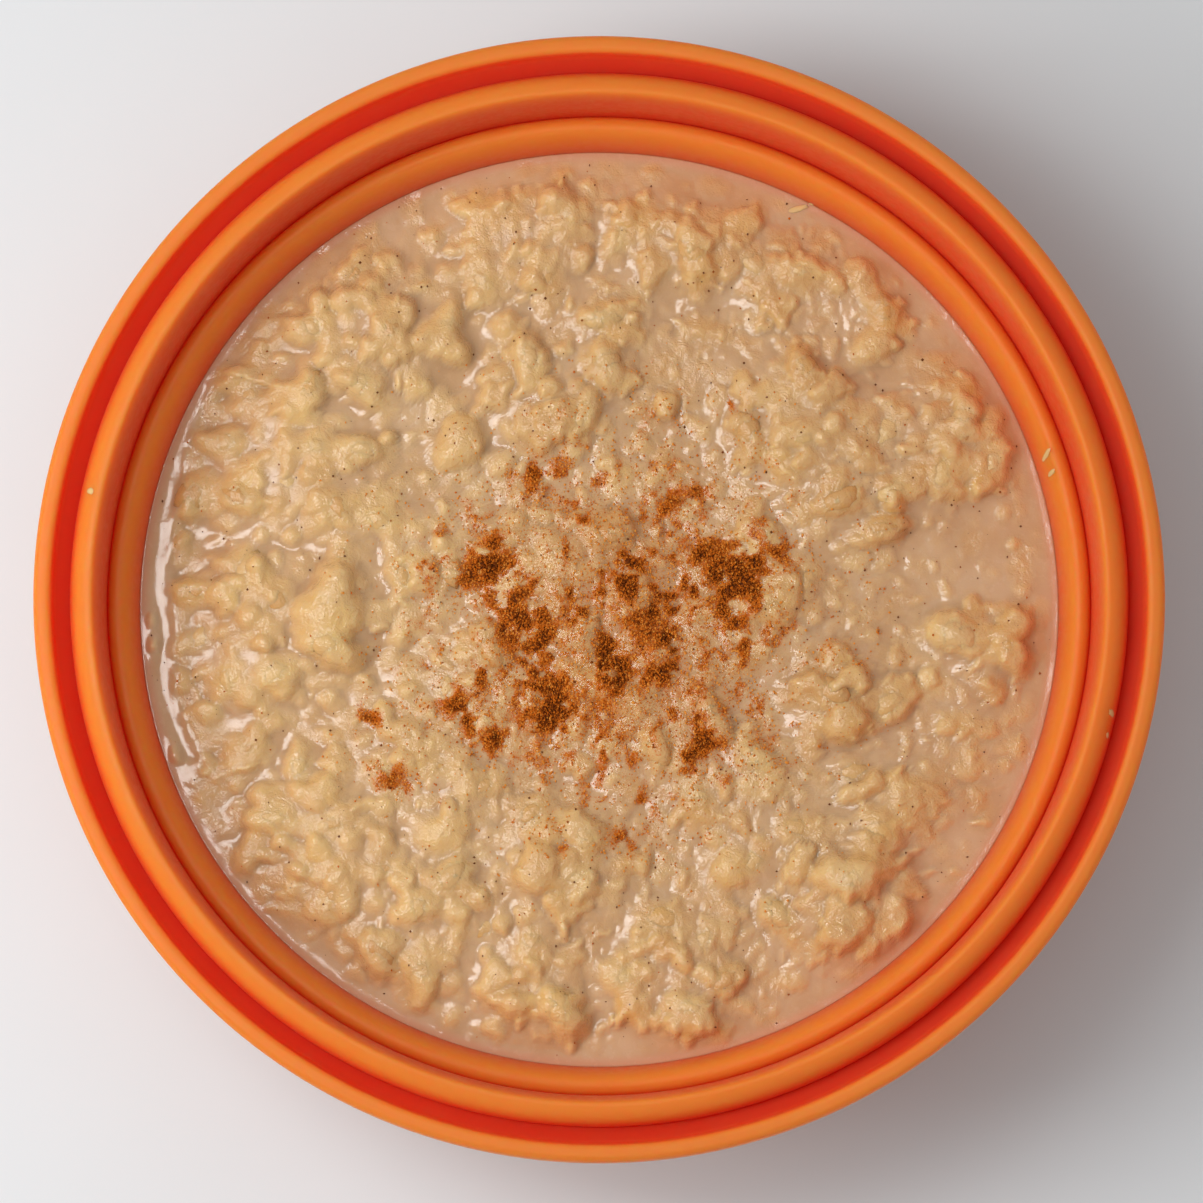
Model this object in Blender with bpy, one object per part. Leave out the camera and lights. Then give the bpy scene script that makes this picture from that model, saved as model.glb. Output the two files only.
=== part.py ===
"""A bowl of rice pudding with ground cinnamon on top. Metres, +Z up, standing on Z = 0 about the Z axis."""

import math
import random

import bmesh
import bpy
from mathutils import Matrix

MM = 0.001

# Bowl: a moulded shell with a rounded lip, a groove inside the lip, and a wall in convex tiers.
RIM_RADIUS = 82.5 * MM
LIP_TOP = 55.2 * MM
LIP_WIDTH = 2.7 * MM
LIP_ROUNDING = 1.0 * MM
GROOVE_RADIUS = 77.3 * MM
GROOVE_FLOOR = 51.8 * MM
GROOVE_EDGE_WIDTH = 0.4 * MM
GROOVE_EDGE_HEIGHT = 53.3 * MM
SKIRT_HEIGHT = 49.4 * MM
SKIRT_ROUNDING = 0.8 * MM
INNER_FLOOR = 3.6 * MM
FLOOR_ROUNDING = 3.0 * MM
WALL = 2.6 * MM
RISER_LEAN = 0.6 * MM
RISER_TOP = 4.0 * MM
CORNER_DROP = 2.0 * MM
CORNER_RADIUS = 2.2 * MM
FOOT_OUTER_RADIUS = 52.0 * MM
FOOT_INNER_RADIUS = 48.0 * MM
FOOT_ROUNDING = 1.0 * MM
FOOT_RECESS = 1.2 * MM
SIDES = 48

# The tiers of the wall from the top: crest radius and height, foot radius and height, and steps between them.
TIERS = (
    (74.1 * MM, 56.0 * MM, 72.4 * MM, 42.0 * MM, 4),
    (70.7 * MM, 43.4 * MM, 67.5 * MM, 29.5 * MM, 4),
    (66.1 * MM, 30.4 * MM, 62.1 * MM, 17.3 * MM, 3),
    (60.6 * MM, 18.1 * MM, 53.6 * MM, 6.2 * MM, 3),
)

# Pudding: its milk level, and the clumps of rice that stand above it as (x, y, radius, height) in mm.
MILK_LEVEL = 36.0 * MM
PUDDING_GAP = 0.4 * MM
PUDDING_LIFT = 0.6 * MM
RING_STEP = 4.4 * MM
SHORE_WIDTH = 7.0 * MM
CLUMP_FLATNESS = 3
CLUMP_STEEPNESS = 1.5
CLUMP_BLEND = 4
LEVEL_ENOUGH = math.radians(4)
CLUMPS = (
    (-34.7, 40.4, 14.0, 2.6),
    (-51.9, 24.0, 14.0, 2.2),
    (-39.2, 16.5, 12.0, 2.0),
    (-54.2, -4.5, 14.0, 2.4),
    (-40.0, -1.5, 8.5, 2.0),
    (-56.5, -19.5, 8.0, 1.4),
    (-12.3, 54.6, 11.0, 1.8),
    (7.2, 58.5, 9.0, 1.6),
    (13.9, 52.9, 8.0, 2.4),
    (-0.3, 41.9, 9.0, 1.6),
    (-7.8, 32.2, 9.5, 2.4),
    (32.6, 26.9, 14.0, 3.2),
    (37.1, 17.0, 10.0, 2.0),
    (51.3, 24.0, 10.0, 2.4),
    (27.4, 48.7, 7.5, 1.4),
    (39.4, 45.4, 7.0, 1.4),
    (-25.0, 8.0, 11.0, 1.6),
    (-4.5, 3.0, 16.0, 1.8),
    (8.0, -13.5, 16.0, 1.8),
    (-15.3, -12.0, 11.0, 1.6),
    (23.7, 2.5, 12.0, 1.5),
    (36.4, -12.0, 9.0, 2.4),
    (57.0, -5.0, 8.0, 1.4),
    (35.6, -41.9, 12.0, 3.2),
    (42.4, -29.0, 8.0, 2.2),
    (22.7, -29.4, 13.0, 1.6),
    (-6.3, -38.9, 12.0, 2.2),
    (-10.8, -56.0, 9.0, 1.8),
    (10.7, -54.6, 12.0, 1.6),
    (-39.2, -32.9, 13.0, 2.2),
    (-25.7, -44.4, 12.0, 2.2),
    (-23.3, -25.4, 12.0, 1.8),
)

# Rice: swollen cooked grains lying in the clumps, the largest laid first.
GRAIN_SEED = 11
GRAIN_COUNT = 108
GRAIN_SIDES = 5
GRAIN_DRAWS = 9000
GRAIN_SPACING = 6.4 * MM
GRAIN_LENGTH = (8.2 * MM, 6.4 * MM)
GRAIN_WIDTH = 0.66
GRAIN_THICKNESS = 0.5
GRAIN_TILT = math.radians(12)
GRAIN_RISE = -0.1
SHORE_HEIGHT = 0.65 * MM
RICE_RADIUS = 62.5 * MM

# Cinnamon: low heaps of powder as (x, y, radius) in millimetres.
CINNAMON_HEAPS = (
    (-17.0, 7.0, 4.6),
    (-8.0, 19.5, 3.6),
    (3.4, 4.8, 3.6),
    (19.5, 6.0, 4.4),
    (-8.0, -13.0, 4.0),
    (7.5, -5.5, 3.8),
    (-3.6, 14.8, 2.8),
    (-20.8, -15.4, 2.8),
    (-15.6, -19.5, 2.6),
    (-33.5, -16.2, 2.6),
    (-29.8, -26.2, 3.0),
    (1.5, -29.0, 2.4),
)
HEAP_FLATNESS = 0.2
HEAP_RISE = 0.5 * MM


def clear_scene():
    for obj in list(bpy.data.objects):
        bpy.data.objects.remove(obj)


def material(name, colour, roughness):
    made = bpy.data.materials.new(name)
    made.use_nodes = True
    shader = made.node_tree.nodes["Principled BSDF"]
    shader.inputs["Base Color"].default_value = (*colour, 1.0)
    shader.inputs["Roughness"].default_value = roughness
    shader.inputs["Metallic"].default_value = 0.0
    return made


def new_object(name, bm, finish=None):
    mesh = bpy.data.meshes.new(name)
    bm.to_mesh(mesh)
    bm.free()
    obj = bpy.data.objects.new(name, mesh)
    bpy.context.scene.collection.objects.link(obj)
    if finish:
        mesh.materials.append(finish)
    return obj


def arc(start, end, steps):
    """Points after start of a quarter ellipse that leaves start level and comes upright to end."""
    points = []
    for step in range(1, steps + 1):
        turn = math.pi / 2 * step / steps
        across = start[0] + (end[0] - start[0]) * math.sin(turn)
        down = start[1] + (end[1] - start[1]) * (1 - math.cos(turn))
        points.append((across, down))
    return points


def inner_wall():
    """The inside of the bowl, from the crest under the rim down to the middle of the floor."""
    path = []
    for crest_radius, crest_height, foot_radius, foot_height, steps in TIERS:
        crest = (crest_radius, crest_height)
        path += [crest] + arc(crest, (foot_radius, foot_height), steps)
    floor_edge = (path[-1][0] - FLOOR_ROUNDING, INNER_FLOOR)
    return path + [floor_edge, (0.0, INNER_FLOOR)]


def outer_wall():
    """The outside of the bowl, from under the rim down: a riser and a rounded corner for each tier."""
    path = []
    for _, crest_height, foot_radius, foot_height, _ in TIERS:
        riser = foot_radius + WALL
        path.append((riser + RISER_LEAN, min(crest_height - RISER_TOP, SKIRT_HEIGHT)))
        for degrees in (0, 45, 90):
            turn = math.radians(degrees)
            inward = CORNER_RADIUS * (1 - math.cos(turn))
            above = CORNER_RADIUS * (1 - math.sin(turn))
            path.append((riser - inward, foot_height - CORNER_DROP + above))
    return path


def rim():
    """The ridge's outer shoulder, the groove, the rounded lip and its skirt, from the inside out."""
    lip_inner = RIM_RADIUS - LIP_WIDTH
    path = arc(TIERS[0][:2], (GROOVE_RADIUS, GROOVE_FLOOR), 3)
    path.append((lip_inner - GROOVE_EDGE_WIDTH, GROOVE_EDGE_HEIGHT))
    for side, way, turns in ((lip_inner, 1, (0, 45, 90)), (RIM_RADIUS, -1, (90, 45, 0))):
        for degrees in turns:
            turn = math.radians(degrees)
            across = side + way * LIP_ROUNDING * (1 - math.cos(turn))
            path.append((across, LIP_TOP - LIP_ROUNDING * (1 - math.sin(turn))))
    path += [
        (RIM_RADIUS, SKIRT_HEIGHT + SKIRT_ROUNDING),
        (RIM_RADIUS - SKIRT_ROUNDING, SKIRT_HEIGHT),
    ]
    return path


def bowl_profile():
    """The section of the bowl: from the middle of its floor, over the rim and down to the foot."""
    foot = [
        (FOOT_OUTER_RADIUS + FOOT_ROUNDING, FOOT_ROUNDING),
        (FOOT_OUTER_RADIUS, 0.0),
        (FOOT_INNER_RADIUS, 0.0),
        (FOOT_INNER_RADIUS - FOOT_RECESS, FOOT_RECESS),
        (0.0, FOOT_RECESS),
    ]
    return list(reversed(inner_wall())) + rim() + outer_wall() + foot


def turned(profile):
    """A closed body turned about the Z axis from a profile whose first and last points lie on that axis."""
    bm = bmesh.new()
    points = [bm.verts.new((radius, 0.0, height)) for radius, height in profile]
    edges = [bm.edges.new(pair) for pair in zip(points, points[1:])]
    bmesh.ops.spin(
        bm,
        geom=points + edges,
        axis=(0.0, 0.0, 1.0),
        angle=math.tau,
        steps=SIDES,
        use_merge=True,
    )
    bmesh.ops.remove_doubles(bm, verts=bm.verts, dist=0.01 * MM)
    bmesh.ops.recalc_face_normals(bm, faces=bm.faces)
    return bm


def shade(obj, degrees):
    obj.data.shade_smooth()
    obj.data.set_sharp_from_angle(angle=math.radians(degrees))


def make_bowl():
    finish = material("orange_plastic", colour=(0.775, 0.162, 0.027), roughness=0.35)
    bowl = new_object("bowl", turned(bowl_profile()), finish)
    shade(bowl, 40)


def wall_radius(height):
    """The radius of the bowl's second tier at a height."""
    crest_radius, crest_height, foot_radius, foot_height, _ = TIERS[1]
    upright = 1 - (crest_height - height) / (crest_height - foot_height)
    return crest_radius - (crest_radius - foot_radius) * math.sqrt(1 - upright * upright)


def clump_height(x, y):
    """How far the rice stands above the milk at a place, with neighbouring clumps run together."""
    total = 0.0
    for centre_x, centre_y, radius, height in CLUMPS:
        apart = math.hypot(x / MM - centre_x, y / MM - centre_y) / radius
        if apart < 1:
            total += (height * MM * (1 - apart**CLUMP_FLATNESS) ** CLUMP_STEEPNESS) ** CLUMP_BLEND
    to_wall = wall_radius(MILK_LEVEL) - math.hypot(x, y)
    return total ** (1 / CLUMP_BLEND) * min(max(to_wall / SHORE_WIDTH, 0.0), 1.0)


def pudding_core():
    """The pudding without its grains: it fills the bowl up to the milk, and its top rises in clumps."""
    edge_radius = wall_radius(MILK_LEVEL) - PUDDING_GAP
    rings = [(step * RING_STEP, MILK_LEVEL) for step in range(math.floor(edge_radius / RING_STEP))]
    inside = [point for point in inner_wall() if point[1] < MILK_LEVEL - 2 * PUDDING_GAP]
    wall = [(max(radius - PUDDING_GAP, 0.0), height + PUDDING_LIFT) for radius, height in inside]
    bm = turned(rings + [(edge_radius, MILK_LEVEL)] + wall)
    top = [vert for vert in bm.verts if abs(vert.co.z - MILK_LEVEL) < 0.01 * MM]
    for vert in top:
        vert.co.z += clump_height(vert.co.x, vert.co.y)
    inner = [vert for vert in top if vert.co.to_2d().length < edge_radius - RING_STEP / 2]
    edges = list({edge for vert in inner for edge in vert.link_edges})
    bmesh.ops.dissolve_limit(bm, angle_limit=LEVEL_ENOUGH, verts=inner, edges=edges)
    bmesh.ops.triangulate(bm, faces=bm.faces)
    return bm


def grain_places():
    """Seeded places for the grains, evenly spread over the clumps, with the length of each."""
    draw = random.Random(GRAIN_SEED)
    places = []
    for _ in range(GRAIN_DRAWS):
        x = draw.uniform(-RICE_RADIUS, RICE_RADIUS)
        y = draw.uniform(-RICE_RADIUS, RICE_RADIUS)
        if math.hypot(x, y) > RICE_RADIUS or clump_height(x, y) < SHORE_HEIGHT:
            continue
        if any(math.hypot(x - other[0], y - other[1]) < GRAIN_SPACING for other in places):
            continue
        share = len(places) / GRAIN_COUNT
        length = GRAIN_LENGTH[0] + (GRAIN_LENGTH[1] - GRAIN_LENGTH[0]) * share
        places.append((x, y, length))
        if len(places) == GRAIN_COUNT:
            break
    return places


def grain(x, y, length, draw):
    """One grain: a bead with few sides along its length, flattened, and laid in the clump's top."""
    bm = bmesh.new()
    bmesh.ops.create_uvsphere(bm, u_segments=GRAIN_SIDES, v_segments=4, radius=0.5)
    along = Matrix.Rotation(math.pi / 2, 4, "Y")
    scale = Matrix.Diagonal((length, length * GRAIN_WIDTH, length * GRAIN_THICKNESS, 1.0))
    tilt = Matrix.Rotation(draw.uniform(-GRAIN_TILT, GRAIN_TILT), 4, "Y")
    turn = Matrix.Rotation(draw.uniform(0.0, math.pi), 4, "Z")
    rise = length * GRAIN_THICKNESS * GRAIN_RISE
    place = Matrix.Translation((x, y, MILK_LEVEL + clump_height(x, y) + rise))
    bmesh.ops.transform(bm, matrix=place @ turn @ tilt @ scale @ along, verts=bm.verts)
    return new_object("grain", bm)


def heap(x, y, radius):
    """One heap of cinnamon: a low dome with few sides."""
    bm = bmesh.new()
    bmesh.ops.create_uvsphere(bm, u_segments=6, v_segments=4, radius=radius)
    bmesh.ops.scale(bm, vec=(1.0, 1.0, HEAP_FLATNESS), verts=bm.verts)
    bmesh.ops.translate(bm, vec=(x, y, MILK_LEVEL + clump_height(x, y) + HEAP_RISE), verts=bm.verts)
    return new_object("heap", bm)


def fuse(core, pieces):
    """Joins the pieces to the core as one body."""
    group = bpy.data.collections.new("fused")
    for piece in pieces:
        group.objects.link(piece)
    union = core.modifiers.new("Fuse", "BOOLEAN")
    union.operation = "UNION"
    union.operand_type = "COLLECTION"
    union.collection = group
    union.solver = "EXACT"
    depsgraph = bpy.context.evaluated_depsgraph_get()
    joined = bpy.data.meshes.new_from_object(core.evaluated_get(depsgraph))
    core.modifiers.clear()
    core.data = joined
    for piece in pieces:
        bpy.data.objects.remove(piece)
    bpy.data.collections.remove(group)


def keep_largest_shell(obj):
    """Leaves only the largest connected shell, so no sealed hollow or loose scrap stays."""
    bm = bmesh.new()
    bm.from_mesh(obj.data)
    unseen = set(bm.faces)
    shells = []
    while unseen:
        shell = {unseen.pop()}
        edge_of_shell = set(shell)
        while edge_of_shell:
            edge_of_shell = {
                other for face in edge_of_shell for edge in face.edges for other in edge.link_faces
            } - shell
            shell |= edge_of_shell
        unseen -= shell
        shells.append(shell)
    largest = max(shells, key=len)
    scraps = [face for face in bm.faces if face not in largest]
    bmesh.ops.delete(bm, geom=scraps, context="FACES")
    bm.to_mesh(obj.data)
    bm.free()


def make_pudding():
    finish = material("rice_pudding", colour=(0.61, 0.342, 0.174), roughness=0.3)
    pudding = new_object("pudding", pudding_core(), finish)
    draw = random.Random(GRAIN_SEED + 1)
    grains = [grain(x, y, length, draw) for x, y, length in grain_places()]
    heaps = [heap(x * MM, y * MM, radius * MM) for x, y, radius in CINNAMON_HEAPS]
    fuse(pudding, grains + heaps)
    keep_largest_shell(pudding)
    shade(pudding, 50)


def main():
    clear_scene()
    make_bowl()
    make_pudding()


main()
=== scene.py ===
import math
import random

import bmesh
import bpy
import numpy as np
from mathutils import Matrix, Vector, noise
from mathutils.bvhtree import BVHTree


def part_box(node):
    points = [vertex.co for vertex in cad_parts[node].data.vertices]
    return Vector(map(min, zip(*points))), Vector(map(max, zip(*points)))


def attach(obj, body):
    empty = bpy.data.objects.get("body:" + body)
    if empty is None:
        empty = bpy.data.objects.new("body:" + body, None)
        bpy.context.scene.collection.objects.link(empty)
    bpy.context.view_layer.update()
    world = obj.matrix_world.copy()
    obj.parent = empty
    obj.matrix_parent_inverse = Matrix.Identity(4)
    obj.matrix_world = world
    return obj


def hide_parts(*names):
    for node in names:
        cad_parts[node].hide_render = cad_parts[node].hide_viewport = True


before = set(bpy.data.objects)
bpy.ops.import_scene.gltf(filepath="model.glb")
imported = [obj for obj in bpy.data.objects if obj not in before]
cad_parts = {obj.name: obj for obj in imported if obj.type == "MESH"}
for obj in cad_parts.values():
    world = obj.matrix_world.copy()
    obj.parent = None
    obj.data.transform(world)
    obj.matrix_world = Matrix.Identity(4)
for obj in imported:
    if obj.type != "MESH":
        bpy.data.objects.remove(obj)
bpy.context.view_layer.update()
mm = 0.001
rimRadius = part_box("bowl")[1].x / mm


# small helpers for meshes and attributes

def meshObject(name, bm, material):
    mesh = bpy.data.meshes.new(name)
    bm.to_mesh(mesh)
    bm.free()
    obj = bpy.data.objects.new(name, mesh)
    bpy.context.scene.collection.objects.link(obj)
    mesh.materials.append(material)
    return obj


def pointsOf(obj):
    points = np.empty(len(obj.data.vertices) * 3, np.float32)
    obj.data.vertices.foreach_get("co", points)
    return points.reshape(-1, 3).astype(float)


def movePoints(obj, points):
    obj.data.vertices.foreach_set("co", points.astype(np.float32).ravel())
    obj.data.update()


def addAttribute(obj, name, values):
    layer = obj.data.attributes.new(name, "FLOAT", "POINT")
    layer.data.foreach_set("value", np.asarray(values, np.float32))


def smoothStep(low, high, value):
    t = np.clip((value - low) / (high - low), 0, 1)
    return t * t * (3 - 2 * t)


def linear(red, green, blue):  # a screen colour as the shader wants it
    made = []
    for channel in (red, green, blue):
        c = channel / 255
        made.append(c / 12.92 if c <= 0.04045 else ((c + 0.055) / 1.055) ** 2.4)
    return (*made, 1.0)


# small helpers for materials

def newMaterial(name):
    material = bpy.data.materials.new(name)
    material.use_nodes = True
    return material.node_tree, material.node_tree.nodes["Principled BSDF"], material


def addNode(tree, kind, inputs, **settings):
    node = tree.nodes.new(kind)
    for key, value in settings.items():
        setattr(node, key, value)
    plugIn(tree, node, inputs)
    return node


def plugIn(tree, node, inputs):
    for key, value in inputs.items():
        if isinstance(value, bpy.types.NodeSocket):
            tree.links.new(value, node.inputs[key])
        else:
            node.inputs[key].default_value = value


def mixColour(tree, factor, first, second):
    node = addNode(tree, "ShaderNodeMix", {}, data_type="RGBA")
    plugIn(tree, node, {0: factor, 6: first, 7: second})
    return node.outputs[2]


def calculate(tree, operation, first, second):
    return addNode(tree, "ShaderNodeMath", {0: first, 1: second}, operation=operation).outputs[0]


def remap(tree, value, low, high, toLow=0.0, toHigh=1.0):
    inputs = {"Value": value, "From Min": low, "From Max": high, "To Min": toLow, "To Max": toHigh}
    return addNode(tree, "ShaderNodeMapRange", inputs, interpolation_type="SMOOTHSTEP").outputs[0]


def objectPlace(tree):
    return addNode(tree, "ShaderNodeTexCoord", {}).outputs["Object"]


def noiseTexture(tree, place, scale, detail, roughness=0.55, twist=0.0):
    inputs = {"Vector": place, "Scale": scale, "Detail": detail, "Roughness": roughness, "Distortion": twist}
    return addNode(tree, "ShaderNodeTexNoise", inputs).outputs["Fac"]


def attribute(tree, name):
    return addNode(tree, "ShaderNodeAttribute", {}, attribute_name=name).outputs["Fac"]


def bump(tree, height, strength, distance):
    inputs = {"Height": height, "Strength": strength, "Distance": distance}
    return addNode(tree, "ShaderNodeBump", inputs).outputs["Normal"]


# the bowl, turned in millimetres

bowl = {
    "sides": 240,
    "steps": 10,  # steps in each tier's curve
    "shoulderSteps": 5,
    "grooveSteps": 12,
    "lipTop": 55.2,
    "lipWidth": 2.7,
    "lipRounding": 1.0,
    "stepHeight": 53.6,
    "stepNook": 0.6,  # how far the lip's inner foot is rounded
    "grooveRadius": 77.3,
    "grooveFloor": 51.8,
    "skirtHeight": 49.4,
    "skirtRounding": 0.8,
    "floor": 3.6,
    "floorRounding": 3.0,
    "cove": (1.0, 1.6),  # from the last tier's foot in and down, on the way to the floor
    "wall": 2.6,
    "riserLean": 0.6,
    "riserTop": 4.0,
    "cornerDrop": 2.0,
    "cornerRadius": 2.2,
    "footRadii": (52.0, 48.0),
    "footRounding": 1.0,
    "footRecess": 1.2,
    "tiers": (  # crest radius and height, foot radius and height
        (74.1, 56.0, 72.4, 42.0),
        (70.7, 43.4, 67.5, 29.5),
        (66.1, 30.4, 62.1, 17.3),
        (60.6, 18.1, 53.6, 6.2),
    ),
    "shadeOnset": (0.75, 1.3, 1.3, 1.3),  # how soon the painted shade turns each tier's curve red on its way down
    "hollowShades": {  # painted shade: how deep in a hollow a place is, from 0 to 1, which turns its colour red
        "shoulder": (0.1, 0.5),
        "tierFoot": 0.88,
        "groove": 0.9,
        "lip": 0.5,
        "riser": 0.7,
        "foot": 0.4,
    },
    "orange": linear(232, 134, 46),
    "shadeRedOrange": linear(230, 80, 36),
    "shadeDeepRed": linear(206, 44, 27),
    "mottle": 0.08,
    "mottleScale": 90,
    "scuffScale": 900,
    "roughness": 0.45,
    "sharpAngle": 38,
}


def quarterArc(start, end, steps):  # leaves start level and comes upright to end
    path = []
    for step in range(1, steps + 1):
        turn = math.pi / 2 * step / steps
        across = start[0] + (end[0] - start[0]) * math.sin(turn)
        down = start[1] + (end[1] - start[1]) * (1 - math.cos(turn))
        path.append((across, down))
    return path


def roundedShoulder(crest, foot, steps):  # from beside the crest down and out to just short of the foot
    least, more = bowl["hollowShades"]["shoulder"]
    arc = quarterArc(crest, foot, steps)[:-1]
    return [(*point, least + more * (step / steps) ** 2) for step, point in enumerate(arc, 1)]


def roundCorner(across, up, radius, angles):  # points about a centre, in degrees above straight out
    turns = [math.radians(angle) for angle in angles]
    return [(across + radius * math.cos(turn), up + radius * math.sin(turn)) for turn in turns]


def insideSection():
    path = []
    for number, (crestRadius, crestHeight, footRadius, footHeight) in enumerate(bowl["tiers"]):
        if number:
            path += roundedShoulder((crestRadius, crestHeight), path[-1][:2], bowl["shoulderSteps"])[::-1]
        path.append((crestRadius, crestHeight, 0.0))
        arc = quarterArc((crestRadius, crestHeight), (footRadius, footHeight), bowl["steps"])
        for step, point in enumerate(arc, 1):
            # painted shade: each tier's curve reddens on its way down to the foot
            red = (step / bowl["steps"]) ** bowl["shadeOnset"][number]
            path.append((*point, bowl["hollowShades"]["tierFoot"] * red))
    footRadius, footHeight, _ = path[-1]
    coveIn, coveDown = bowl["cove"]
    path.append((footRadius - coveIn, footHeight - coveDown, 0.8))
    path.append((footRadius - bowl["floorRounding"], bowl["floor"], 0.6))
    path.append((0.0, bowl["floor"], 0.0))
    return path


def rimSection():  # the groove, the lip and the skirt
    groove = (bowl["grooveRadius"], bowl["grooveFloor"])
    steps = bowl["grooveSteps"]
    arc = quarterArc(bowl["tiers"][0][:2], groove, steps)
    path = [(*point, bowl["hollowShades"]["groove"] * (step / steps) ** 2) for step, point in enumerate(arc, 1)]
    inner = rimRadius - bowl["lipWidth"]
    nook, stepHeight = bowl["stepNook"], bowl["stepHeight"]
    path += [(inner - nook, stepHeight - nook, 0.8), (inner - nook / 6, stepHeight + nook / 6, 0.65)]
    curve = bowl["lipRounding"]
    middle = bowl["lipTop"] - curve
    for across, up in roundCorner(inner + curve, middle, curve, range(180, 89, -15)):
        path.append((across, up, bowl["hollowShades"]["lip"] * ((inner + curve - across) / curve) ** 2))
    path += [(*point, 0.0) for point in roundCorner(rimRadius - curve, middle, curve, range(90, -1, -15))]
    skirt = bowl["skirtRounding"]
    corner = roundCorner(rimRadius - skirt, bowl["skirtHeight"] + skirt, skirt, range(0, -91, -30))
    return path + [(*point, 0.1) for point in corner]


def outsideSection():
    path = []
    curve = bowl["cornerRadius"]
    for _, crestHeight, footRadius, footHeight in bowl["tiers"]:
        riser = footRadius + bowl["wall"]
        top = min(crestHeight - bowl["riserTop"], bowl["skirtHeight"])
        path.append((riser + bowl["riserLean"], top, bowl["hollowShades"]["riser"]))
        middle = footHeight - bowl["cornerDrop"] + curve
        path += [(*point, 0.0) for point in roundCorner(riser - curve, middle, curve, range(0, -91, -15))]
    footOuter, footInner = bowl["footRadii"]
    rounding, recess = bowl["footRounding"], bowl["footRecess"]
    return path + [
        (footOuter + rounding, rounding, 0.0),
        (footOuter + 0.3 * rounding, 0.3 * rounding, 0.0),
        (footOuter, 0.0, 0.0),
        (footInner, 0.0, 0.0),
        (footInner - recess, recess, bowl["hollowShades"]["foot"]),
        (0.0, recess, 0.0),
    ]


def bowlSection():
    # each point is radius, height and how much painted shade its hollow gets, from 0 to 1
    return insideSection()[::-1] + rimSection() + outsideSection()


def turnSection(section, sides):
    bm = bmesh.new()
    verts = [bm.verts.new((point[0] * mm, 0, point[1] * mm)) for point in section]
    edges = [bm.edges.new(pair) for pair in zip(verts, verts[1:])]
    bmesh.ops.spin(bm, geom=verts + edges, axis=(0, 0, 1), angle=math.tau, steps=sides, use_merge=True)
    bmesh.ops.remove_doubles(bm, verts=bm.verts, dist=0.005 * mm)
    bmesh.ops.recalc_face_normals(bm, faces=bm.faces)
    return bm


def bowlMaterial():
    tree, shader, material = newMaterial("bowlPlastic")
    place = objectPlace(tree)
    # painted shade: the orange turns red, then deep red, in the hollows and down each tier's curve; the
    # mottle is the plastic's own uneven tone
    hollowShade = attribute(tree, "hollowShade")
    mottle = calculate(tree, "SUBTRACT", noiseTexture(tree, place, bowl["mottleScale"], 4), 0.5)
    shifted = calculate(tree, "ADD", hollowShade, calculate(tree, "MULTIPLY", mottle, bowl["mottle"]))
    warm = mixColour(tree, remap(tree, shifted, 0.05, 0.6), bowl["orange"], bowl["shadeRedOrange"])
    deep = mixColour(tree, remap(tree, shifted, 0.55, 1.0), warm, bowl["shadeDeepRed"])
    scuffs = noiseTexture(tree, place, bowl["scuffScale"], 2)
    rough = remap(tree, scuffs, 0.3, 0.7, bowl["roughness"] - 0.05, bowl["roughness"] + 0.07)
    plugIn(tree, shader, {
        "Base Color": deep,
        "Roughness": rough,
        "Normal": bump(tree, scuffs, 0.05, 0.0002),
        "IOR": 1.38,
        "Subsurface Weight": 1.0,
        "Subsurface Radius": (1.0, 0.07, 0.03),
        "Subsurface Scale": 0.007,
    })
    return material


def makeBowl():
    section = bowlSection()
    obj = meshObject("bowlShell", turnSection(section, bowl["sides"]), bowlMaterial())
    obj.data.shade_smooth()
    obj.data.set_sharp_from_angle(angle=math.radians(bowl["sharpAngle"]))
    points = pointsOf(obj) / mm
    radius = np.hypot(points[:, 0], points[:, 1])
    line = np.array(section)
    apart = (radius[:, None] - line[None, :, 0]) ** 2 + (points[:, 2, None] - line[None, :, 1]) ** 2
    addAttribute(obj, "hollowShade", line[apart.argmin(1), 2])
    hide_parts("bowl")
    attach(obj, "root")
    print("bowl: turned", len(section), "points", bowl["sides"], "sides")
    return obj


# dried splashes of milk on the wall

drops = {
    "places": (  # x, y, length, width, degrees
        (29.3, 59.4, 3.6, 0.9, 15),
        (31.4, 60.2, 1.6, 0.6, 60),
        (65.9, 22.0, 3.2, 0.8, 112),
        (66.7, 19.4, 2.2, 0.7, 104),
        (-74.2, 15.2, 1.4, 0.9, 80),
        (74.6, -17.2, 1.6, 0.9, 70),
        (74.0, -20.4, 1.0, 0.7, 40),
    ),
    "thickness": 0.24,
    "lumps": 0.3,
    "aboveMilk": 0.35,  # for a splash that lies on the milk
    "colour": linear(236, 190, 128),
}


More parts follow.
